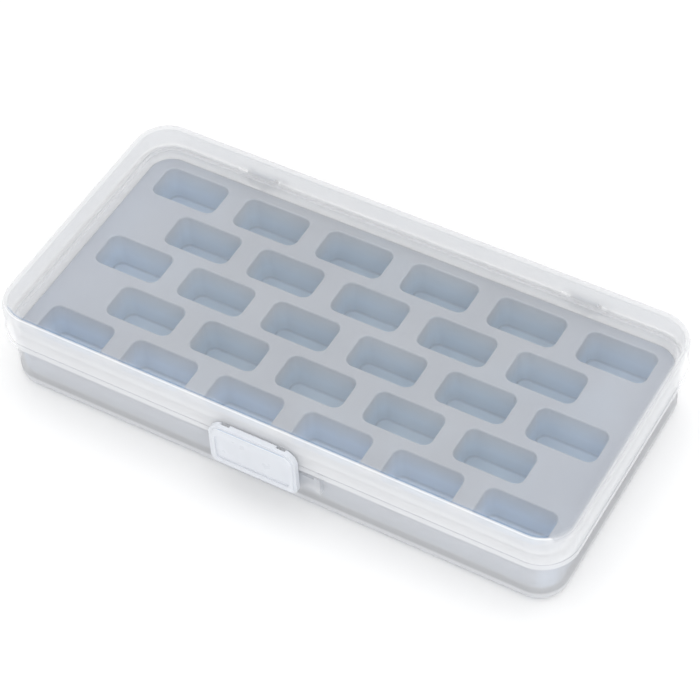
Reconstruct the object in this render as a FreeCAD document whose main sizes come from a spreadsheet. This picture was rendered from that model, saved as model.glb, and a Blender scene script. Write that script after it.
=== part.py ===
import FreeCAD, Part
import os
import Sketcher

# Bobbin storage box: a tray, a hinged lid, a front latch and a soft insert with staggered pockets
# Millimetres. Origin at the middle of the footprint on the resting plane, front at -Y, +Z up

SIZES = {
    # insert and its pockets
    "pocket_length": 22.0,
    "pocket_width": 12.2,
    "pocket_depth": 12.8,
    "pocket_corner": 2.8,
    "pocket_web": 6.8,
    "row_web": 3.8,
    "long_row_pockets": 6,
    "long_rows": 3,
    "insert_floor": 1.2,
    "insert_margin_ends": 5.35,
    "insert_margin_sides": 3.75,
    "insert_clearance": 0.35,
    "insert_edge_round": 0.5,
    "pocket_floor_round": 0.8,
    # tray
    "tray_wall": 1.3,
    "tray_floor": 1.3,
    "tray_corner": 9.0,
    "foot_height": 3.2,
    "foot_rim": 3.6,
    "foot_round": 2.6,
    "rim_above_insert": 3.1,
    # lid
    "lid_wall": 1.3,
    "lid_gap_ends": 1.05,
    "lid_gap_sides": 0.45,
    "lid_gap_corner": 0.9,
    "lid_seat_gap": 0.3,
    "lid_crown": 9.0,
    "lid_top_round": 2.75,
    "skirt_depth": 4.0,
    "lip_height": 2.0,
    "lip_proud": 0.25,
    "shoulder_height": 0.8,
    "shoulder_lap": 0.5,
    # latch, and the rod in front of the lid's wall that it clips on to
    "latch_width": 28.2,
    "latch_height": 16.6,
    "latch_depth": 2.7,
    "latch_gap": 0.3,
    "latch_shift": 2.0,
    "latch_wall": 1.2,
    "latch_top_wall": 2.8,
    "latch_plate": 1.5,
    "latch_rise": 1.4,
    "latch_back_round": 0.7,
    "latch_top_corner": 4.5,
    "latch_bottom_corner": 2.2,
    "latch_edge_round": 0.6,
    "latch_step_inset": 0.9,
    "latch_step_depth": 0.7,
    "panel_depth": 0.5,
    "panel_side": 2.2,
    "panel_top": 3.4,
    "panel_bottom": 2.9,
    "rod_radius": 0.6,
    "rod_clearance": 0.07,
    "rod_stand_off": 1.6,
    "rod_below_top": 6.6,
    "rod_length": 22.4,
    "rod_end_gap": 0.3,
    "rod_arm_offset": 9.0,
    "rod_arm_width": 2.4,
    "rod_arm_height": 0.7,
    "clip_mouth": 1.0,
    "notch_gap": 0.3,
    "notch_reach": 0.1,
    "latch_bay": 33.0,
    "hook_lift": 0.2,
    "hook_height": 0.9,
    "hook_gap": 0.4,
    "hook_drop": 0.3,
    # keeper, end ribs and web on the front of the tray
    "keeper_height": 4.8,
    "keeper_proud": 1.4,
    "ear_width": 1.8,
    "ear_proud": 2.0,
    "ear_top_gap": 0.8,
    "web_top_width": 28.0,
    "web_bottom_width": 20.0,
    "web_height": 4.0,
    "web_proud": 1.0,
    # rear hinges
    "hinge_spacing": 110.0,
    "barrel_length": 8.0,
    "barrel_radius": 2.0,
    "barrel_gap": 0.4,
    "hinge_drop": 0.9,
    "arm_gap": 0.35,
    "gusset_width": 2.0,
    "gusset_height": 4.0,
    "pin_radius": 1.0,
    "pin_clearance": 0.07,
    "pin_length": 3.0,
    "lug_width": 3.0,
    "lug_side_gap": 0.3,
    "lug_web_height": 4.6,
}

# Places worked out from the sizes, each a formula on the sheet before it
PLACES = {
    "pocket_pitch": "=Sizes.pocket_length + Sizes.pocket_web",
    "row_pitch": "=Sizes.pocket_width + Sizes.row_web",
    "pockets_length": "=Sizes.long_row_pockets * pocket_pitch - Sizes.pocket_web",
    "pockets_width": "=(2 * Sizes.long_rows - 1) * row_pitch - Sizes.row_web",
    "insert_length": "=pockets_length + 2 * Sizes.insert_margin_ends",
    "insert_width": "=pockets_width + 2 * Sizes.insert_margin_sides",
    "insert_height": "=Sizes.pocket_depth + Sizes.insert_floor",
    "tray_length": "=insert_length + 2 * (Sizes.insert_clearance + Sizes.tray_wall)",
    "tray_width": "=insert_width + 2 * (Sizes.insert_clearance + Sizes.tray_wall)",
    "tray_inner_corner": "=Sizes.tray_corner - Sizes.tray_wall",
    "tray_floor_top": "=Sizes.foot_height + Sizes.tray_floor",
    "tray_height": "=tray_floor_top + insert_height + Sizes.rim_above_insert",
    "tray_front": "=tray_width / 2",
    "tray_wall_middle": "=tray_front - Sizes.tray_wall / 2",
    "lid_length": "=tray_length + 2 * (Sizes.lid_gap_ends + Sizes.lid_wall)",
    "lid_width": "=tray_width + 2 * (Sizes.lid_gap_sides + Sizes.lid_wall)",
    "lid_corner": "=Sizes.tray_corner + Sizes.lid_gap_corner + Sizes.lid_wall",
    "lid_front": "=lid_width / 2",
    "skirt_bottom": "=tray_height + Sizes.lid_seat_gap - Sizes.skirt_depth",
    "lid_height": "=Sizes.skirt_depth + Sizes.lid_crown",
    "lid_inner_height": "=lid_height - Sizes.lid_wall",
    "rod_forward": "=lid_front + Sizes.rod_stand_off",
    "rod_level": "=skirt_bottom + lid_height - Sizes.rod_below_top",
    "rod_bore": "=Sizes.rod_radius + Sizes.rod_clearance",
    "latch_back": "=lid_front + Sizes.lip_proud + Sizes.latch_gap - rod_forward",
    "latch_front": "=latch_back + Sizes.latch_depth",
    "latch_bottom": "=Sizes.latch_height - Sizes.latch_rise",
    "latch_middle": "=Sizes.latch_rise - Sizes.latch_height / 2",
    "keeper_face": "=tray_front + Sizes.keeper_proud",
    "hook_reach": "=rod_forward - keeper_face - Sizes.hook_gap",
    "hook_top": "=rod_level - latch_bottom + Sizes.hook_lift + Sizes.hook_height",
    "keeper_bottom": "=hook_top + Sizes.hook_drop",
    "ear_top": "=skirt_bottom - Sizes.ear_top_gap",
    "web_top": "=keeper_bottom + Sizes.tray_wall / 4",
    "hinge_back": "=lid_front + Sizes.lip_proud + Sizes.barrel_gap + Sizes.barrel_radius",
    "hinge_level": "=skirt_bottom - Sizes.hinge_drop",
    "arm_top": "=skirt_bottom - Sizes.arm_gap",
    "barrel_bore": "=Sizes.pin_radius + Sizes.pin_clearance",
    "lug_inner": "=Sizes.barrel_length / 2 + Sizes.lug_side_gap",
}

doc = FreeCAD.newDocument("BobbinBox")


def fill_sheet(name, cells):
    """A sheet with a name in column A and its value or formula in column B"""
    sheet = doc.addObject("Spreadsheet::Sheet", name)
    for row, (alias, content) in enumerate(cells.items(), 1):
        sheet.set(f"A{row}", alias)
        sheet.set(f"B{row}", str(content))
        sheet.setAlias(f"B{row}", alias)
    return sheet


fill_sheet("Sizes", SIZES)
fill_sheet("Places", PLACES)
doc.recompute()


def number(formula):
    """The present value of a formula on the two sheets"""
    return float(doc.Sizes.evalExpression(formula))


def new_body(label):
    body = doc.addObject("PartDesign::Body", label)
    body.Label = label
    return body


def new_sketch(body, name, plane, distance="0", across="0", along="0"):
    """A sketch on one of the body's own planes, moved along the plane's normal and within it"""
    sketch = body.newObject("Sketcher::SketchObject", name)
    origin_plane = [part for part in body.Origin.OriginFeatures if part.Role == plane][0]
    sketch.AttachmentSupport = (origin_plane, "")
    sketch.MapMode = "FlatFace"
    sketch.setExpression("AttachmentOffset.Base.x", across)
    sketch.setExpression("AttachmentOffset.Base.y", along)
    sketch.setExpression("AttachmentOffset.Base.z", distance)
    return sketch


def pin_point(sketch, curve, end, across=None, along=None):
    """Ties one end of a curve to distances from the sketch's origin"""
    for kind, formula in (("DistanceX", across), ("DistanceY", along)):
        if formula is not None:
            tie = Sketcher.Constraint(kind, -1, 1, curve, end, number(formula))
            sketch.setExpression(f"Constraints[{sketch.addConstraint(tie)}]", formula)


def polygon(sketch, corners):
    """A closed outline of straight lines through corners given as pairs of formulas"""
    points = [FreeCAD.Vector(number(x), number(y), 0) for x, y in corners]
    first = sketch.GeometryCount
    count = len(points)
    for index in range(count):
        sketch.addGeometry(Part.LineSegment(points[index], points[(index + 1) % count]))
    for index in range(count):
        following = first + (index + 1) % count
        sketch.addConstraint(Sketcher.Constraint("Coincident", first + index, 2, following, 1))
    for index, (across, along) in enumerate(corners):
        pin_point(sketch, first + index, 1, across, along)


def circle(sketch, radius, across="0", along="0"):
    centre = FreeCAD.Vector(number(across), number(along), 0)
    curve = sketch.addGeometry(Part.Circle(centre, FreeCAD.Vector(0, 0, 1), number(radius)))
    size = sketch.addConstraint(Sketcher.Constraint("Radius", curve, number(radius)))
    sketch.setExpression(f"Constraints[{size}]", radius)
    pin_point(sketch, curve, 3, across, along)


def rounded_rectangle(sketch, length, width, corner, lower_corner=None):
    """A rectangle about the sketch's origin with round corners, the lower pair with their own radius"""
    lower_corner = lower_corner or corner
    half_x = number(length) / 2
    half_y = number(width) / 2
    top = number(corner)
    low = number(lower_corner)
    first = sketch.GeometryCount
    vector = FreeCAD.Vector
    sides = (
        ((low - half_x, -half_y), (half_x - low, -half_y)),
        ((half_x, low - half_y), (half_x, half_y - top)),
        ((half_x - top, half_y), (top - half_x, half_y)),
        ((-half_x, half_y - top), (-half_x, low - half_y)),
    )
    for start, finish in sides:
        sketch.addGeometry(Part.LineSegment(vector(*start, 0), vector(*finish, 0)))
    centres = (
        (half_x - low, low - half_y, low, -90),
        (half_x - top, half_y - top, top, 0),
        (top - half_x, half_y - top, top, 90),
        (low - half_x, low - half_y, low, 180),
    )
    for x, y, radius, angle in centres:
        whole = Part.Circle(vector(x, y, 0), vector(0, 0, 1), radius)
        start = FreeCAD.Units.Quantity(f"{angle} deg").getValueAs("rad").Value
        finish = FreeCAD.Units.Quantity(f"{angle + 90} deg").getValueAs("rad").Value
        sketch.addGeometry(Part.ArcOfCircle(whole, start, finish))
    for index, direction in enumerate(("Horizontal", "Vertical", "Horizontal", "Vertical")):
        sketch.addConstraint(Sketcher.Constraint(direction, first + index))
    for index in range(4):
        arc = first + 4 + index
        sketch.addConstraint(Sketcher.Constraint("Tangent", first + index, 2, arc, 1))
        sketch.addConstraint(Sketcher.Constraint("Tangent", arc, 2, first + (index + 1) % 4, 1))
    pin_point(sketch, first, 1, along=f"-({width}) / 2")
    pin_point(sketch, first + 1, 1, across=f"({length}) / 2")
    pin_point(sketch, first + 2, 1, along=f"({width}) / 2")
    pin_point(sketch, first + 3, 1, across=f"-({length}) / 2")
    for arc, radius in enumerate((lower_corner, corner, corner, lower_corner), first + 4):
        size = sketch.addConstraint(Sketcher.Constraint("Radius", arc, number(radius)))
        sketch.setExpression(f"Constraints[{size}]", radius)


def add_pad(body, sketch, name, length, middle=False):
    pad = body.newObject("PartDesign::Pad", name)
    pad.Profile = sketch
    pad.Midplane = middle
    pad.setExpression("Length", length)
    doc.recompute()
    return pad


def add_pocket(body, sketch, name, length, along_normal=False, middle=False):
    """Cuts against the sketch's normal, or along it, and makes sure that something was cut"""
    before = body.Shape.Volume
    pocket = body.newObject("PartDesign::Pocket", name)
    pocket.Profile = sketch
    pocket.Reversed = along_normal
    pocket.Midplane = middle
    pocket.setExpression("Length", length)
    doc.recompute()
    if not pocket.Shape.Volume < before:
        raise RuntimeError(f"{name} cuts nothing")
    return pocket


def add_fillet(body, name, radius, wanted):
    """Rounds those edges of the body so far whose bounding box the test accepts"""
    base = body.Tip
    edges = [f"Edge{n}" for n, edge in enumerate(base.Shape.Edges, 1) if wanted(edge.BoundBox)]
    fillet = body.newObject("PartDesign::Fillet", name)
    fillet.Base = (base, edges)
    fillet.setExpression("Radius", radius)
    doc.recompute()
    return fillet


def add_mirror(body, name, features):
    """Repeats features on the other side of the box's middle plane"""
    mirror = body.newObject("PartDesign::Mirrored", name)
    mirror.Originals = features
    middle_plane = [part for part in body.Origin.OriginFeatures if part.Role == "YZ_Plane"][0]
    mirror.MirrorPlane = (middle_plane, [""])
    body.Tip = mirror
    doc.recompute()
    return mirror


def at_level(level):
    """A test for edges that lie in one horizontal plane"""
    near = 0.001
    return lambda box: abs(box.ZMin - level) < near and abs(box.ZMax - level) < near


def add_row_pattern(body, name, pocket, sketch, count, rows):
    """Repeats one pocket along its row and over every second row"""
    pattern = body.newObject("PartDesign::LinearPattern", name)
    pattern.Originals = [pocket]
    pattern.Direction = (sketch, ["H_Axis"])
    pattern.Mode = "Spacing"
    pattern.setExpression("Offset", "Places.pocket_pitch")
    pattern.setExpression("Occurrences", count)
    pattern.Direction2 = (sketch, ["V_Axis"])
    pattern.Mode2 = "Extent"
    pattern.setExpression("Length2", f"2 * Places.row_pitch * (({rows}) - 1)")
    pattern.setExpression("Occurrences2", rows)
    body.Tip = pattern
    doc.recompute()
    return pattern


# Insert: a soft block with long rows of pockets and shorter rows half a pitch aside between them
def make_insert():
    body = new_body("bobbin_insert")
    outline = new_sketch(body, "InsertOutline", "XY_Plane")
    corner = "Places.tray_inner_corner - Sizes.insert_clearance"
    rounded_rectangle(outline, "Places.insert_length", "Places.insert_width", corner)
    add_pad(body, outline, "InsertBlock", "Places.insert_height")
    rows = (
        ("Long", "Sizes.long_row_pockets", "Sizes.long_rows"),
        ("Short", "Sizes.long_row_pockets - 1", "Sizes.long_rows - 1"),
    )
    for kind, count, lines in rows:
        left = f"-(({count}) - 1) * Places.pocket_pitch / 2"
        front = f"-(({lines}) - 1) * Places.row_pitch"
        sketch = new_sketch(body, f"{kind}RowPocket", "XY_Plane", "Places.insert_height", left, front)
        rounded_rectangle(sketch, "Sizes.pocket_length", "Sizes.pocket_width", "Sizes.pocket_corner")
        pocket = add_pocket(body, sketch, f"{kind}RowCut", "Sizes.pocket_depth")
        add_row_pattern(body, f"{kind}Rows", pocket, sketch, count, lines)
    add_fillet(body, "InsertEdge", "Sizes.insert_edge_round", at_level(number("Places.insert_height")))
    add_fillet(body, "PocketFloors", "Sizes.pocket_floor_round", at_level(number("Sizes.insert_floor")))
    body.setExpression("Placement.Base.z", "Places.tray_floor_top")
    return body


# Tray: an open shell with a raised floor, the latch keeper in front and hinge barrels behind
def make_tray_shell(body):
    outline = new_sketch(body, "TrayOutline", "XY_Plane")
    rounded_rectangle(outline, "Places.tray_length", "Places.tray_width", "Sizes.tray_corner")
    add_pad(body, outline, "TrayBlock", "Places.tray_height")
    add_fillet(body, "FootEdge", "Sizes.foot_round", at_level(0))
    inner_length = "Places.tray_length - 2 * Sizes.tray_wall"
    inner_width = "Places.tray_width - 2 * Sizes.tray_wall"
    inside = new_sketch(body, "TrayInside", "XY_Plane", "Places.tray_height")
    rounded_rectangle(inside, inner_length, inner_width, "Places.tray_inner_corner")
    add_pocket(body, inside, "TrayHollow", "Places.tray_height - Places.tray_floor_top")
    under = new_sketch(body, "UnderFloor", "XY_Plane")
    under_length = "Places.tray_length - 2 * Sizes.foot_rim"
    under_width = "Places.tray_width - 2 * Sizes.foot_rim"
    rounded_rectangle(under, under_length, under_width, "Sizes.tray_corner - Sizes.foot_rim")
    add_pocket(body, under, "FootHollow", "Sizes.foot_height", along_normal=True)


def add_front_feature(body, name, corner_lists, proud):
    """Raises outlines, given by their corners across and above the bench, out of the tray's front wall"""
    sketch = new_sketch(body, f"{name}Outline", "XZ_Plane", "Places.tray_wall_middle")
    for corners in corner_lists:
        polygon(sketch, corners)
    add_pad(body, sketch, name, f"{proud} + Sizes.tray_wall / 2")


def box_corners(left, right, bottom, top):
    return [(left, bottom), (right, bottom), (right, top), (left, top)]


def make_keeper(body):
    bottom = "Places.keeper_bottom"
    top = "Places.keeper_bottom + Sizes.keeper_height"
    bay = "Sizes.latch_bay / 2"
    outer = "(Sizes.latch_bay / 2 + Sizes.ear_width)"
    keeper = box_corners(f"-{outer}", outer, bottom, top)
    add_front_feature(body, "Keeper", [keeper], "Sizes.keeper_proud")
    left_ear = box_corners(f"-{outer}", f"-{bay}", bottom, "Places.ear_top")
    right_ear = box_corners(bay, outer, bottom, "Places.ear_top")
    add_front_feature(body, "EndRibs", [left_ear, right_ear], "Sizes.ear_proud")
    web_bottom = "Places.web_top - Sizes.web_height"
    web = [
        ("-Sizes.web_bottom_width / 2", web_bottom),
        ("Sizes.web_bottom_width / 2", web_bottom),
        ("Sizes.web_top_width / 2", "Places.web_top"),
        ("-Sizes.web_top_width / 2", "Places.web_top"),
    ]
    add_front_feature(body, "KeeperWeb", [web], "Sizes.web_proud")


def make_hinge_barrels(body):
    middle = "Sizes.hinge_spacing / 2"
    wall = "Places.tray_wall_middle"
    low = "Places.hinge_level - Sizes.barrel_radius"
    arm = new_sketch(body, "HingeArmOutline", "YZ_Plane", middle)
    polygon(arm, box_corners(wall, "Places.hinge_back", low, "Places.arm_top"))
    arm_pad = add_pad(body, arm, "HingeArm", "Sizes.barrel_length", middle=True)
    gusset = new_sketch(body, "HingeGussetOutline", "YZ_Plane", middle)
    overlap = "Sizes.arm_gap"
    corners = [
        (wall, f"{low} - Sizes.gusset_height"),
        ("Places.hinge_back", low),
        ("Places.hinge_back", f"{low} + {overlap}"),
        (wall, f"{low} + {overlap}"),
    ]
    polygon(gusset, corners)
    gusset_pad = add_pad(body, gusset, "HingeGusset", "Sizes.gusset_width", middle=True)
    barrel = new_sketch(body, "HingeBarrelOutline", "YZ_Plane", middle)
    circle(barrel, "Sizes.barrel_radius", "Places.hinge_back", "Places.hinge_level")
    barrel_pad = add_pad(body, barrel, "HingeBarrel", "Sizes.barrel_length", middle=True)
    bore = new_sketch(body, "HingeBoreOutline", "YZ_Plane", middle)
    circle(bore, "Places.barrel_bore", "Places.hinge_back", "Places.hinge_level")
    bore_cut = add_pocket(body, bore, "HingeBore", "2 * Sizes.barrel_length", middle=True)
    add_mirror(body, "OtherBarrel", [arm_pad, gusset_pad, barrel_pad, bore_cut])


def make_tray():
    body = new_body("base_tray")
    make_tray_shell(body)
    make_keeper(body)
    make_hinge_barrels(body)
    return body


# Lid: measured from the bottom edge of its skirt, where its own frame stands
def make_lid_shell(body):
    outline = new_sketch(body, "LidOutline", "XY_Plane")
    rounded_rectangle(outline, "Places.lid_length", "Places.lid_width", "Places.lid_corner")
    add_pad(body, outline, "LidBlock", "Places.lid_height")
    add_fillet(body, "LidTopEdge", "Sizes.lid_top_round", at_level(number("Places.lid_height")))
    inner_length = "Places.lid_length - 2 * Sizes.lid_wall"
    inner_width = "Places.lid_width - 2 * Sizes.lid_wall"
    inside = new_sketch(body, "LidInside", "XY_Plane")
    rounded_rectangle(inside, inner_length, inner_width, "Places.lid_corner - Sizes.lid_wall")
    add_pocket(body, inside, "LidHollow", "Places.lid_inner_height", along_normal=True)
    inner_round = "Sizes.lid_top_round - Sizes.lid_wall"
    add_fillet(body, "LidInnerEdge", inner_round, at_level(number("Places.lid_inner_height")))


def add_lid_ring(body, name, level, height, outer_growth, inner_shape):
    """A band round the skirt, from an outer outline that grows by a distance to an inner outline"""
    sketch = new_sketch(body, f"{name}Outline", "XY_Plane", level)
    length = f"Places.lid_length + 2 * ({outer_growth})"
    width = f"Places.lid_width + 2 * ({outer_growth})"
    rounded_rectangle(sketch, length, width, f"Places.lid_corner + {outer_growth}")
    rounded_rectangle(sketch, *inner_shape)
    add_pad(body, sketch, name, height)


def make_lid_bands(body):
    middle_of_wall = (
        "Places.lid_length - Sizes.lid_wall",
        "Places.lid_width - Sizes.lid_wall",
        "Places.lid_corner - Sizes.lid_wall / 2",
    )
    add_lid_ring(body, "SkirtLip", "0", "Sizes.lip_height", "Sizes.lip_proud", middle_of_wall)
    over_rim = (
        "Places.tray_length - 2 * Sizes.shoulder_lap",
        "Places.tray_width - 2 * Sizes.shoulder_lap",
        "Sizes.tray_corner - Sizes.shoulder_lap",
    )
    halfway_in = "(0 - Sizes.lid_wall / 2)"
    add_lid_ring(body, "Shoulder", "Sizes.skirt_depth", "Sizes.shoulder_height", halfway_in, over_rim)


def make_latch_rod(body):
    """The rod that the latch hangs on, held off the lid's front wall by two short arms"""
    middle = "-Sizes.latch_shift"
    axis = "(Places.rod_level - Places.skirt_bottom)"
    half = "Sizes.rod_arm_height / 2"
    wall = "-(Places.lid_front - Sizes.lid_wall / 2)"
    for side, sign in (("Left", "-"), ("Right", "+")):
        place = f"{middle} {sign} Sizes.rod_arm_offset"
        arm = new_sketch(body, f"{side}RodArmOutline", "YZ_Plane", place)
        polygon(arm, box_corners("-Places.rod_forward", wall, f"{axis} - {half}", f"{axis} + {half}"))
        add_pad(body, arm, f"{side}RodArm", "Sizes.rod_arm_width", middle=True)
    rod = new_sketch(body, "RodOutline", "YZ_Plane", middle)
    circle(rod, "Sizes.rod_radius", "-Places.rod_forward", axis)
    add_pad(body, rod, "LatchRod", "Sizes.rod_length", middle=True)


def make_hinge_lugs(body):
    """Two lugs each side of a barrel, each with a stub pin that reaches into the barrel"""
    back = "Places.hinge_back"
    axis = "(Places.hinge_level - Places.skirt_bottom)"
    wall = "(Places.lid_front - Sizes.lid_wall / 2)"
    turned = "Sizes.barrel_radius * cos(45 deg)"
    features = []
    for side, sign in (("Near", "-"), ("Far", "")):
        middle = f"Sizes.hinge_spacing / 2 + {sign}1 * (Places.lug_inner + Sizes.lug_width / 2)"
        web = new_sketch(body, f"{side}LugWebOutline", "YZ_Plane", middle)
        corners = [
            (wall, "Sizes.lip_height / 4"),
            (back, axis),
            (f"{back} + {turned}", f"{axis} + {turned}"),
            (wall, "Sizes.lug_web_height"),
        ]
        polygon(web, corners)
        features.append(add_pad(body, web, f"{side}LugWeb", "Sizes.lug_width", middle=True))
        eye = new_sketch(body, f"{side}LugEyeOutline", "YZ_Plane", middle)
        circle(eye, "Sizes.barrel_radius", back, axis)
        features.append(add_pad(body, eye, f"{side}LugEye", "Sizes.lug_width", middle=True))
        reach = "(Sizes.pin_length + Sizes.lug_side_gap + Sizes.lug_width / 2)"
        pin_middle = f"{middle} - {sign}1 * {reach} / 2"
        pin = new_sketch(body, f"{side}PinOutline", "YZ_Plane", pin_middle)
        circle(pin, "Sizes.pin_radius", back, axis)
        features.append(add_pad(body, pin, f"{side}Pin", reach, middle=True))
    add_mirror(body, "OtherLugs", features)


def make_lid():
    body = new_body("lid")
    make_lid_shell(body)
    make_lid_bands(body)
    make_latch_rod(body)
    make_hinge_lugs(body)
    body.setExpression("Placement.Base.z", "Places.skirt_bottom")
    return body


# Latch: measured from the rod's axis, where its own frame stands
def make_latch_plate(body):
    middle = "Places.latch_middle"
    outline = new_sketch(body, "LatchOutline", "XZ_Plane", "Places.latch_back", along=middle)
    corners = ("Sizes.latch_top_corner", "Sizes.latch_bottom_corner")
    rounded_rectangle(outline, "Sizes.latch_width", "Sizes.latch_height", *corners)
    flange = "(Sizes.latch_depth - Sizes.latch_step_depth)"
    add_pad(body, outline, "LatchFlange", flange)
    inset = "Sizes.latch_step_inset"
    start = f"Places.latch_back + {flange} / 2"
    raised = new_sketch(body, "LatchFaceOutline", "XZ_Plane", start, along=middle)
    length = f"Sizes.latch_width - 2 * {inset}"
    width = f"Sizes.latch_height - 2 * {inset}"
    rounded_rectangle(raised, length, width, *(f"{corner} - {inset}" for corner in corners))
    add_pad(body, raised, "LatchFace", f"Sizes.latch_depth - {flange} / 2")
    front = -number("Places.latch_front")
    add_fillet(body, "LatchFrontEdge", "Sizes.latch_edge_round", lambda box: box.YMax < front + 0.001)
    rear = -number("Places.latch_back")
    add_fillet(body, "LatchBackEdge", "Sizes.latch_back_round", lambda box: box.YMin > rear - 0.001)


def make_latch_hollows(body):
    wall = "Sizes.latch_wall"
    middle = "Places.latch_middle"
    lift = f"{middle} + ({wall} - Sizes.latch_top_wall) / 2"
    back = new_sketch(body, "LatchBackOutline", "XZ_Plane", "Places.latch_back", along=lift)
    length = f"Sizes.latch_width - 2 * {wall}"
    width = f"Sizes.latch_height - {wall} - Sizes.latch_top_wall"
    corners = (f"Sizes.latch_top_corner - {wall}", f"Sizes.latch_bottom_corner - {wall}")
    rounded_rectangle(back, length, width, *corners)
    depth = "Sizes.latch_depth - Sizes.latch_plate"
    add_pocket(body, back, "LatchBackHollow", depth, along_normal=True)
    side = "Sizes.panel_side"
    lift = f"{middle} + (Sizes.panel_bottom - Sizes.panel_top) / 2"
    panel = new_sketch(body, "PanelOutline", "XZ_Plane", "Places.latch_front", along=lift)
    length = f"Sizes.latch_width - 2 * {side}"
    width = "Sizes.latch_height - Sizes.panel_top - Sizes.panel_bottom"
    corners = (f"Sizes.latch_top_corner - {side}", "Sizes.latch_bottom_corner / 2")
    rounded_rectangle(panel, length, width, *corners)
    add_pocket(body, panel, "LatchPanel", "Sizes.panel_depth")


def make_latch_clip(body):
    """A blind bore for the rod, open at the back, with two notches where the rod's arms reach in"""
    bore = new_sketch(body, "ClipBoreOutline", "YZ_Plane")
    circle(bore, "Places.rod_bore")
    length = "Sizes.rod_length + 2 * Sizes.rod_end_gap"
    add_pocket(body, bore, "ClipBore", length, middle=True)
    mouth = new_sketch(body, "ClipMouthOutline", "YZ_Plane")
    half = "Sizes.clip_mouth / 2"
    beyond = "Sizes.latch_depth"
    polygon(mouth, box_corners("0", beyond, f"-{half}", half))
    add_pocket(body, mouth, "ClipMouth", length, middle=True)
    notch = new_sketch(body, "ArmNotchOutline", "YZ_Plane", "Sizes.rod_arm_offset")
    polygon(notch, box_corners("-Sizes.notch_reach", beyond, f"-{half}", "2 * Sizes.latch_rise"))
    width = "Sizes.rod_arm_width + 2 * Sizes.notch_gap"
    notch_cut = add_pocket(body, notch, "ArmNotch", width, middle=True)
    add_mirror(body, "OtherNotch", [notch_cut])


def make_latch_hook(body):
    """The bottom wall's lip, which reaches back below the keeper"""
    low = "(Places.latch_bottom - Sizes.hook_lift)"
    hook = new_sketch(body, "HookOutline", "YZ_Plane")
    inner = "-(Places.latch_back + Sizes.latch_wall)"
    nose = "Sizes.hook_height / 4"
    corners = [
        (inner, f"-{low}"),
        ("-Places.latch_back", f"-{low}"),
        ("Places.hook_reach", f"-{low} + {nose}"),
        ("Places.hook_reach", f"-{low} + Sizes.hook_height"),
        (inner, f"-{low} + Sizes.hook_height"),
    ]
    polygon(hook, corners)
    hook_width = "Sizes.latch_width - 2 * (Sizes.latch_bottom_corner + Sizes.latch_wall)"
    add_pad(body, hook, "LatchHook", hook_width, middle=True)


def make_latch():
    body = new_body("front_latch")
    make_latch_plate(body)
    make_latch_hollows(body)
    make_latch_clip(body)
    make_latch_hook(body)
    body.setExpression("Placement.Base.x", "-Sizes.latch_shift")
    body.setExpression("Placement.Base.y", "-Places.rod_forward")
    body.setExpression("Placement.Base.z", "Places.rod_level")
    return body


pieces = [make_tray(), make_insert(), make_lid(), make_latch()]
doc.recompute()

for item in doc.Objects:
    if "Invalid" in item.State or "Error" in item.State:
        raise RuntimeError(f"{item.Name} failed: {item.State}")

os.makedirs("parts", exist_ok=True)
for piece in pieces:
    if piece.Shape.isNull() or not piece.Shape.isValid():
        raise RuntimeError(f"{piece.Label} has no valid shape")
    piece.Shape.exportStep(f"parts/{piece.Label}.step")
    box = piece.Shape.BoundBox
    span = f"x {box.XMin:.2f} {box.XMax:.2f} y {box.YMin:.2f} {box.YMax:.2f} z {box.ZMin:.2f} {box.ZMax:.2f}"
    print(piece.Label, len(piece.Shape.Solids), "solid,", round(piece.Shape.Volume), "mm3,", span)
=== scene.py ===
import bpy
from mathutils import Matrix, Vector


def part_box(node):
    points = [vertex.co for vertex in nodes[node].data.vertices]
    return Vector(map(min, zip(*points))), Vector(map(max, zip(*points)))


# Bobbin storage box: a frosted lid and tray, a milky latch and a soft blue-grey insert, in metres

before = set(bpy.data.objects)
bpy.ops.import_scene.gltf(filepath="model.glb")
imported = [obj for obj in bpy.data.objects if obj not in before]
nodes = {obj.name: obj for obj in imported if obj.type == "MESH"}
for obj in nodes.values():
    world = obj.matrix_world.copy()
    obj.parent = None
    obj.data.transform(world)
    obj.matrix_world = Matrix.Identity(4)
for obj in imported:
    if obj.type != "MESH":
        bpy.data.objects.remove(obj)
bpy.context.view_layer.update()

MILLIMETRE = 0.001

# Camera, solved from the photograph's grid of pockets
CAMERA_PLACE = Vector((0.24570, -0.38903, 0.55421))
CAMERA_RIGHT = Vector((0.86938, 0.49273, -0.03719))
CAMERA_DOWN = Vector((0.35426, -0.67399, -0.64826))
CAMERA_AHEAD = Vector((-0.34449, 0.55042, -0.76051))
CAMERA_LENS = 125.6
CAMERA_SENSOR = 36
CAMERA_NEAREST = 0.01

# Studio: a plain floor just below the foot, a white surround and two soft lamps
FLOOR_HALF = 3.0
FLOOR_HEIGHT = -0.1 * MILLIMETRE
FLOOR_SHADES = ((0.93, 0.93, 0.93), (0.95, 0.95, 0.95))
FLOOR_DRIFT = 0.4
FLOOR_ROUGHNESS = 0.7
SURROUND_STRENGTH = 0.92
LAMP_TARGET = Vector((0, 0, 0.02))
TOP_LAMP = {"place": (0.0, 0.25, 1.1), "size": (1.2, 0.9), "power": 3}
FRONT_LAMP = {"place": (0.6, -0.9, 0.7), "size": (0.9, 0.7), "power": 3.5}

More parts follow.
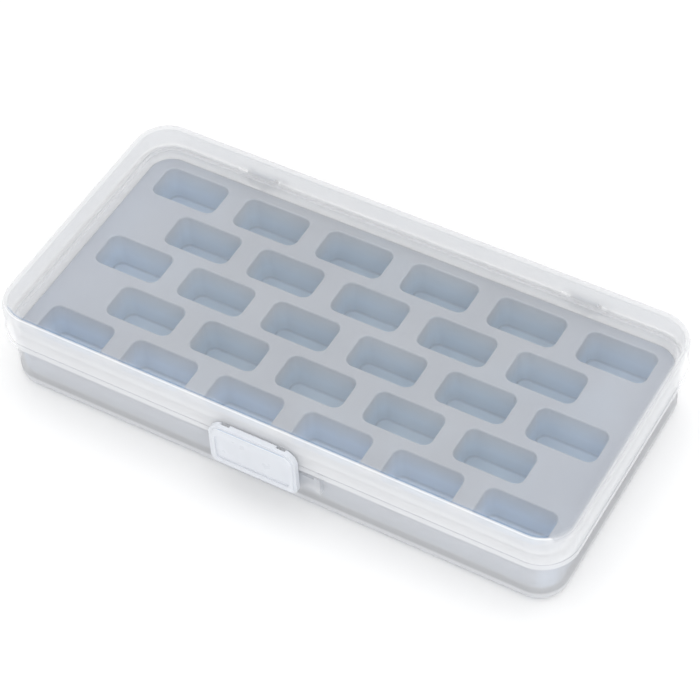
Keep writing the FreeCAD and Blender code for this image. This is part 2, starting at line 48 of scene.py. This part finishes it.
# Frosted pieces: two tints that drift into each other, how opaque level faces and walls are, how much
# more opaque the foot is, as painted light over the floor's shade, and the roughness
LID = {
    "light": (0.90, 0.905, 0.92),
    "shade": (0.87, 0.88, 0.90),
    "level_haze": 0.11,
    "wall_haze": 0.46,
    "foot_light_haze": 0.0,
    "roughness": 0.22,
}
TRAY = {
    "light": (0.765, 0.775, 0.80),
    "shade": (0.74, 0.75, 0.775),
    "level_haze": 0.42,
    "wall_haze": 0.44,
    "foot_light_haze": 0.25,
    "roughness": 0.36,
}
LATCH = {
    "light": (0.85, 0.875, 0.92),
    "shade": (0.83, 0.86, 0.91),
    "level_haze": 0.66,
    "wall_haze": 0.66,
    "foot_light_haze": 0.0,
    "roughness": 0.30,
}
PLASTIC_INDEX = 1.49
TINT_DRIFT = 30 * MILLIMETRE
HAZE_DRIFT = 25 * MILLIMETRE
HAZE_DRIFT_DEPTH = 0.01
GLOSS_DRIFT = 6 * MILLIMETRE
SHINIER = -0.04
DULLER = 0.05

# Ranges and bands in how upright a face's normal is, from 0 for a wall to 1 for a level face. A band
# is where it starts, is full, starts to fade and ends
SOFT_HAZE_RANGE = (0.3, 0.98)
CRISP_HAZE_RANGE = (0.72, 0.86)
# Painted highlight: a milky line on the front rounding, made of extra haze
FRONT_HIGHLIGHT_BAND = (0.66, 0.73, 0.79, 0.86)
FRONT_HIGHLIGHT_HAZE = 0.22
# Painted shade: a dark blue line on the front edge of level faces, also more opaque
EDGE_SHADE_BAND = (0.84, 0.87, 0.88, 0.998)
EDGE_SHADE_HAZE = 0.30
EDGE_SHADE_TINT = 0.9
EDGE_SHADE_COLOUR = (0.16, 0.28, 0.45)
FRONTAL_RANGE = (0.02, 0.12)

# Band in millimetres over the floor, along the rim that the tray stands on; painted light: extra haze there
# covers the floor's shade behind it
FOOT_LIGHT_BAND = (-1.0, 0.0, 3.2, 4.2)

# Insert: greyer on top, with painted light that makes it paler towards its ends, bluer and lighter down in
# its pockets and palest in the front row
INSERT_TOP = (0.32, 0.345, 0.39)
# Painted light: the top's paler, bluer tone towards its ends
INSERT_TOP_ENDS_LIT = (0.35, 0.385, 0.45)
# Painted light: the pockets' lighter, bluer tone, as light through the translucent rubber would give,
# palest in the front row
INSERT_DEEP_LIT = (0.40, 0.55, 0.68)
INSERT_DEEP_PALE_LIT = (0.66, 0.79, 0.96)
# Painted highlight along the pocket rims
INSERT_RIM_HIGHLIGHT = (0.40, 0.44, 0.50)
# Painted shade in the crease round the pockets' floors
INSERT_CREASE_SHADE = (0.12, 0.21, 0.32)
RIM_HIGHLIGHT_TINT = 0.6
CREASE_SHADE_TINT = 0.5
# Painted light: how much paler the pockets get towards the ends
ENDS_LIGHT_TINT = 0.45
CLOUD_SIZE = 22 * MILLIMETRE
CLOUD_DEPTH = 0.08
RUBBER_DRIFT = 3 * MILLIMETRE
RUBBER_ROUGHNESS = (0.5, 0.62)
GRAIN_SIZE = 0.6 * MILLIMETRE
GRAIN_DEPTH = 0.03 * MILLIMETRE
GRAIN_STRENGTH = 0.2

# Places on the insert in millimetres: from the middle, below its top and over the pockets' floors
ENDS_RANGE = (45, 88)
FRONT_ROW_RANGE = (-36, -22)
OUTER_SIDE_RANGE = (41.0, 41.6)
OUTER_END_RANGE = (87.5, 88.1)
# How much of the pockets' painted light stays on the insert's outer sides and ends
OUTER_SIDE_BLUE = 0.45
OUTER_END_BLUE = 0.55
DEEP_BELOW_TOP = 8
FLOOR_BELOW_TOP = 12.8
RIM_HIGHLIGHT_BAND = (-0.8, -0.4, -0.2, 0.0)
CREASE_SHADE_BAND = (0.0, 0.2, 0.35, 1.1)


def new_material(name):
    """A node material, its node tree and its Principled shader"""
    material = bpy.data.materials.new(name)
    material.use_nodes = True
    tree = material.node_tree
    return material, tree, tree.nodes["Principled BSDF"]


def feed(tree, socket, value):
    """Gives a socket a number, a colour or a link"""
    if isinstance(value, tuple):
        socket.default_value = (*value, 1.0)
    elif isinstance(value, (int, float)):
        socket.default_value = value
    else:
        tree.links.new(value, socket)


def add_node(tree, kind, inputs):
    """A node of a kind, whose inputs are fed by name"""
    node = tree.nodes.new(kind)
    for name, value in inputs.items():
        feed(tree, node.inputs[name], value)
    return node


def coordinate(tree, kind):
    """One of a piece's own coordinates, which move with it"""
    return tree.nodes.new("ShaderNodeTexCoord").outputs[kind]


def along_axes(tree, vector):
    """A vector's X, Y and Z"""
    return add_node(tree, "ShaderNodeSeparateXYZ", {"Vector": vector}).outputs


def cloud(tree, size, detail=3.0):
    """Soft noise whose features are about as wide as size"""
    inputs = {"Vector": coordinate(tree, "Object"), "Scale": 1.0 / size, "Detail": detail, "Roughness": 0.5}
    return add_node(tree, "ShaderNodeTexNoise", inputs).outputs["Fac"]


def spread(tree, factor, low, high, limits=(0.3, 0.7)):
    """Maps a factor between two limits onto a range. Noise lies mostly between the limits given here"""
    start, finish = limits
    inputs = {"Value": factor, "From Min": start, "From Max": finish, "To Min": low, "To Max": high}
    return add_node(tree, "ShaderNodeMapRange", inputs).outputs["Result"]


def combine(tree, operation, first, second=0.0):
    """Arithmetic on sockets and numbers, whose sums and products stay between zero and one"""
    maths = tree.nodes.new("ShaderNodeMath")
    maths.operation = operation
    maths.use_clamp = operation in ("ADD", "MULTIPLY")
    feed(tree, maths.inputs[0], first)
    feed(tree, maths.inputs[1], second)
    return maths.outputs["Value"]


def mix_numbers(tree, factor, first, second):
    """Blends two numbers"""
    return add_node(tree, "ShaderNodeMix", {"Factor": factor, "A": first, "B": second}).outputs["Result"]


def mix_colours(tree, factor, first, second):
    """Blends two colours"""
    mix = tree.nodes.new("ShaderNodeMix")
    mix.data_type = "RGBA"
    feed(tree, mix.inputs["Factor"], factor)
    colour_inputs = [socket for socket in mix.inputs if socket.type == "RGBA"]
    for socket, colour in zip(colour_inputs, (first, second)):
        feed(tree, socket, colour)
    return [socket for socket in mix.outputs if socket.type == "RGBA"][0]


def band(tree, factor, limits):
    """Rises from zero to one between the first two limits, and falls between the last two"""
    start, full, fade, finish = limits
    rise = spread(tree, factor, 0.0, 1.0, (start, full))
    fall = spread(tree, factor, 1.0, 0.0, (fade, finish))
    return combine(tree, "MULTIPLY", rise, fall)


def in_metres(limits, level=0.0):
    """Limits in millimetres over a level, as heights in metres"""
    return tuple(level + limit * MILLIMETRE for limit in limits)


def own_normal(tree):
    """How upright a face's normal is, and whether the face tilts straight to the box's front"""
    normal = along_axes(tree, coordinate(tree, "Normal"))
    upright = combine(tree, "ABSOLUTE", normal["Z"])
    sideways = combine(tree, "ABSOLUTE", normal["X"])
    forwards = combine(tree, "MULTIPLY", normal["Y"], -1.0)
    lead = combine(tree, "SUBTRACT", forwards, sideways)
    return upright, spread(tree, lead, 0.0, 1.0, FRONTAL_RANGE)


def frosted_plastic(name, light, shade, level_haze, wall_haze, foot_light_haze, roughness):
    """Translucent moulded plastic, with a milky painted highlight and a dark painted shade along the front
    edge, and a foot made more opaque as painted light
    """
    material, tree, shader = new_material(name)
    upright, frontal = own_normal(tree)
    # Painted shade: a dark blue line where level faces meet the front edge
    edge_shade = combine(tree, "MULTIPLY", band(tree, upright, EDGE_SHADE_BAND), frontal)
    tint = mix_colours(tree, cloud(tree, TINT_DRIFT), light, shade)
    tint = mix_colours(tree, combine(tree, "MULTIPLY", edge_shade, EDGE_SHADE_TINT), tint, EDGE_SHADE_COLOUR)

    crisp = spread(tree, upright, wall_haze, level_haze, CRISP_HAZE_RANGE)
    soft = spread(tree, upright, wall_haze, level_haze, SOFT_HAZE_RANGE)
    haze = mix_numbers(tree, frontal, soft, crisp)
    # Painted highlight: more haze in a band on the front rounding, so the pale tint shows as a light line
    front_highlight = combine(tree, "MULTIPLY", band(tree, upright, FRONT_HIGHLIGHT_BAND), FRONT_HIGHLIGHT_HAZE)
    front_highlight = combine(tree, "MULTIPLY", front_highlight, frontal)
    lines = combine(tree, "ADD", front_highlight, combine(tree, "MULTIPLY", edge_shade, EDGE_SHADE_HAZE))
    flow = spread(tree, cloud(tree, HAZE_DRIFT, detail=1.0), -HAZE_DRIFT_DEPTH, HAZE_DRIFT_DEPTH)
    height = along_axes(tree, coordinate(tree, "Object"))["Z"]
    # Painted light: more haze along the foot, so it shows pale over the floor's shade
    foot = combine(tree, "MULTIPLY", band(tree, height, in_metres(FOOT_LIGHT_BAND)), foot_light_haze)
    for part in (lines, flow, foot):
        haze = combine(tree, "ADD", haze, part)

    feed(tree, shader.inputs["Base Color"], tint)
    feed(tree, shader.inputs["Alpha"], haze)
    gloss = spread(tree, cloud(tree, GLOSS_DRIFT), roughness + SHINIER, roughness + DULLER)
    feed(tree, shader.inputs["Roughness"], gloss)
    shader.inputs["IOR"].default_value = PLASTIC_INDEX
    return material


def soft_rubber(name, top_level):
    """The insert's smooth rubber, with painted light in its pockets and towards its ends, a painted
    highlight on the pocket rims and painted shade round the pockets' floors
    """
    material, tree, shader = new_material(name)
    place = along_axes(tree, coordinate(tree, "Object"))
    height = place["Z"]
    along = combine(tree, "ABSOLUTE", place["X"])
    across = combine(tree, "ABSOLUTE", place["Y"])

    # Painted light: paler towards the insert's ends
    ends = spread(tree, along, 0.0, 1.0, in_metres(ENDS_RANGE))
    # Painted light: the front row's pockets are palest
    front_row = spread(tree, place["Y"], 1.0, 0.0, in_metres(FRONT_ROW_RANGE))
    pale = combine(tree, "MAXIMUM", front_row, combine(tree, "MULTIPLY", ends, ENDS_LIGHT_TINT))
    top = mix_colours(tree, ends, INSERT_TOP, INSERT_TOP_ENDS_LIT)
    deep = mix_colours(tree, pale, INSERT_DEEP_LIT, INSERT_DEEP_PALE_LIT)

    # Painted light: lighter and bluer down the pockets, less on the insert's outer faces
    lit_depth = spread(tree, height, 0.0, 1.0, (top_level, top_level - DEEP_BELOW_TOP * MILLIMETRE))
    off_sides = spread(tree, across, 1.0, OUTER_SIDE_BLUE, in_metres(OUTER_SIDE_RANGE))
    off_ends = spread(tree, along, 1.0, OUTER_END_BLUE, in_metres(OUTER_END_RANGE))
    lit_depth = combine(tree, "MULTIPLY", lit_depth, combine(tree, "MULTIPLY", off_sides, off_ends))
    clouding = spread(tree, cloud(tree, CLOUD_SIZE, detail=4.0), -CLOUD_DEPTH, CLOUD_DEPTH)
    tint = mix_colours(tree, combine(tree, "ADD", lit_depth, clouding), top, deep)

    # Painted highlight: a paler band just below the top, round the pocket rims
    rim_highlight = combine(tree, "MULTIPLY", band(tree, height, in_metres(RIM_HIGHLIGHT_BAND, top_level)), RIM_HIGHLIGHT_TINT)
    tint = mix_colours(tree, rim_highlight, tint, INSERT_RIM_HIGHLIGHT)
    # Painted shade: a dark line where the pocket walls meet their floors
    floor_level = top_level - FLOOR_BELOW_TOP * MILLIMETRE
    crease_shade = band(tree, height, in_metres(CREASE_SHADE_BAND, floor_level))
    crease_shade = combine(tree, "MULTIPLY", crease_shade, CREASE_SHADE_TINT)
    tint = mix_colours(tree, crease_shade, tint, INSERT_CREASE_SHADE)

    feed(tree, shader.inputs["Base Color"], tint)
    gloss = spread(tree, cloud(tree, RUBBER_DRIFT), *RUBBER_ROUGHNESS)
    feed(tree, shader.inputs["Roughness"], gloss)
    grain = {
        "Height": cloud(tree, GRAIN_SIZE, detail=2.0),
        "Distance": GRAIN_DEPTH,
        "Strength": GRAIN_STRENGTH,
    }
    feed(tree, shader.inputs["Normal"], add_node(tree, "ShaderNodeBump", grain).outputs["Normal"])
    return material


def dress(node_name, material):
    """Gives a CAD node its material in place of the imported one"""
    mesh = nodes[node_name].data
    mesh.materials.clear()
    mesh.materials.append(material)


def dress_pieces():
    dress("lid", frosted_plastic("lid_frosted", **LID))
    dress("base_tray", frosted_plastic("tray_frosted", **TRAY))
    dress("front_latch", frosted_plastic("latch_milky", **LATCH))
    top_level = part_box("bobbin_insert")[1].z
    dress("bobbin_insert", soft_rubber("insert_soft", top_level))


def add_floor():
    """A plain, nearly white sheet under the box"""
    corners = [(x * FLOOR_HALF, y * FLOOR_HALF, 0) for x, y in ((-1, -1), (1, -1), (1, 1), (-1, 1))]
    mesh = bpy.data.meshes.new("floor")
    mesh.from_pydata(corners, [], [(0, 1, 2, 3)])
    floor = bpy.data.objects.new("floor", mesh)
    bpy.context.scene.collection.objects.link(floor)
    floor.location.z = FLOOR_HEIGHT
    material, tree, shader = new_material("floor_white")
    feed(tree, shader.inputs["Base Color"], mix_colours(tree, cloud(tree, FLOOR_DRIFT), *FLOOR_SHADES))
    shader.inputs["Roughness"].default_value = FLOOR_ROUGHNESS
    mesh.materials.append(material)


def add_softbox(name, place, size, power):
    """A square area light that faces the box"""
    light = bpy.data.lights.new(name, "AREA")
    light.shape = "RECTANGLE"
    light.size, light.size_y = size
    light.energy = power
    lamp = bpy.data.objects.new(name, light)
    bpy.context.scene.collection.objects.link(lamp)
    lamp.location = place
    lamp.rotation_euler = (LAMP_TARGET - Vector(place)).to_track_quat("-Z", "Y").to_euler()


def add_lights():
    world = bpy.data.worlds.new("studio")
    world.use_nodes = True
    background = world.node_tree.nodes["Background"]
    background.inputs["Color"].default_value = (1.0, 1.0, 1.0, 1.0)
    background.inputs["Strength"].default_value = SURROUND_STRENGTH
    bpy.context.scene.world = world
    add_softbox("top_softbox", **TOP_LAMP)
    add_softbox("front_softbox", **FRONT_LAMP)


def add_camera():
    camera = bpy.data.cameras.new("camera")
    camera.lens = CAMERA_LENS
    camera.sensor_width = CAMERA_SENSOR
    camera.clip_start = CAMERA_NEAREST
    eye = bpy.data.objects.new("camera", camera)
    bpy.context.scene.collection.objects.link(eye)
    turn = Matrix((CAMERA_RIGHT, -CAMERA_DOWN, -CAMERA_AHEAD)).transposed()
    eye.matrix_world = Matrix.Translation(CAMERA_PLACE) @ turn.to_4x4()
    bpy.context.scene.camera = eye
    bpy.context.scene.view_settings.view_transform = "Standard"


dress_pieces()
add_floor()
add_lights()
add_camera()
